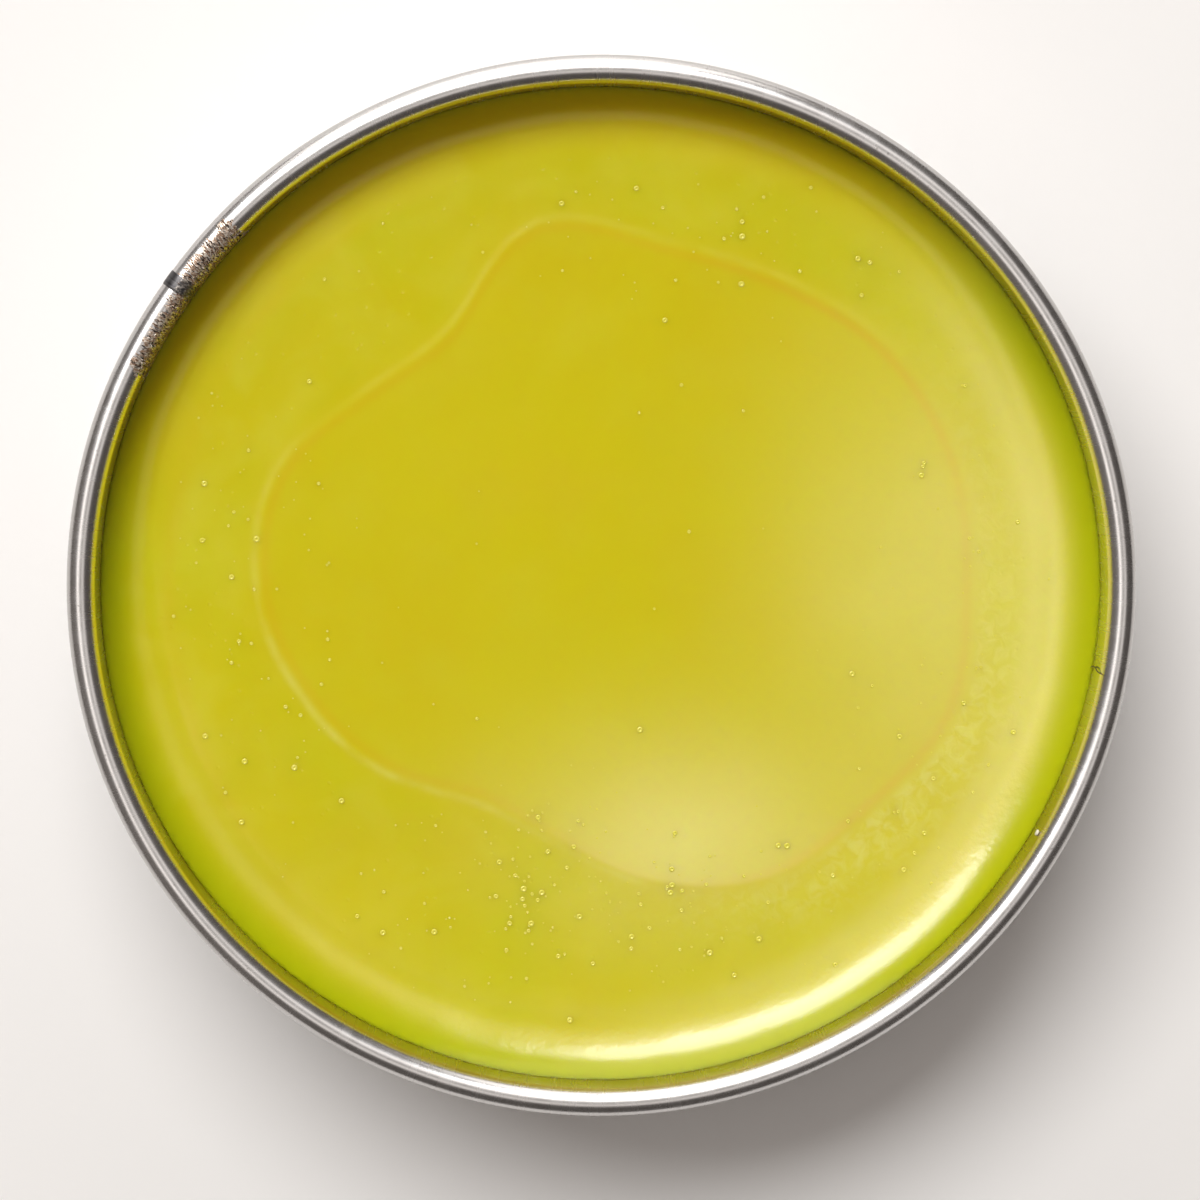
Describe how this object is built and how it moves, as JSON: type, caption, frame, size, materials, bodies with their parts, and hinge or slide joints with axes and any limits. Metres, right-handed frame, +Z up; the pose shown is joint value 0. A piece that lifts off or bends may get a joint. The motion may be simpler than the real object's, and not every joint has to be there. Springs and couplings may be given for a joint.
{
  "type": "shoe polish tin",
  "caption": "Open round tinplate tin of yellow wax shoe polish with a curled rim and welded side seam, standing in its upturned slip lid.",
  "frame": {"origin": "Centre of the flat face of the upturned lid, on the surface that the lid and tin stand on.", "axes": "+Z up along the tin's axis, from the lid's face to the open rim. +X and +Y lie in the resting plane; the welded side seam is 144 degrees counter-clockwise from +X."},
  "size_m": [0.085, 0.085, 0.0249],
  "materials": {
    "tinplate": "bright tinplate",
    "weld": "dark, heat-tinted weld",
    "powder_stripe": "rough baked powder",
    "sealing_compound": "matte sealing compound",
    "polish": "translucent yellow-green wax with a soft gloss",
    "lid_tinplate": "bright tinplate"
  },
  "bodies": {
    "lid": {"lid_shell": "lid_tinplate"},
    "tin": {"body_shell": "tinplate", "side_weld": "weld", "side_stripe": "powder_stripe", "base_end": "tinplate", "seam_compound": "sealing_compound", "polish_fill": "polish", "polish_top_pour": "polish"}
  },
  "joints": [
    {"name": "tin_lift", "type": "slide", "parent": "lid", "child": "tin", "axis": [0, 0, 1], "range_m": [0, 0.03]}
  ]
}
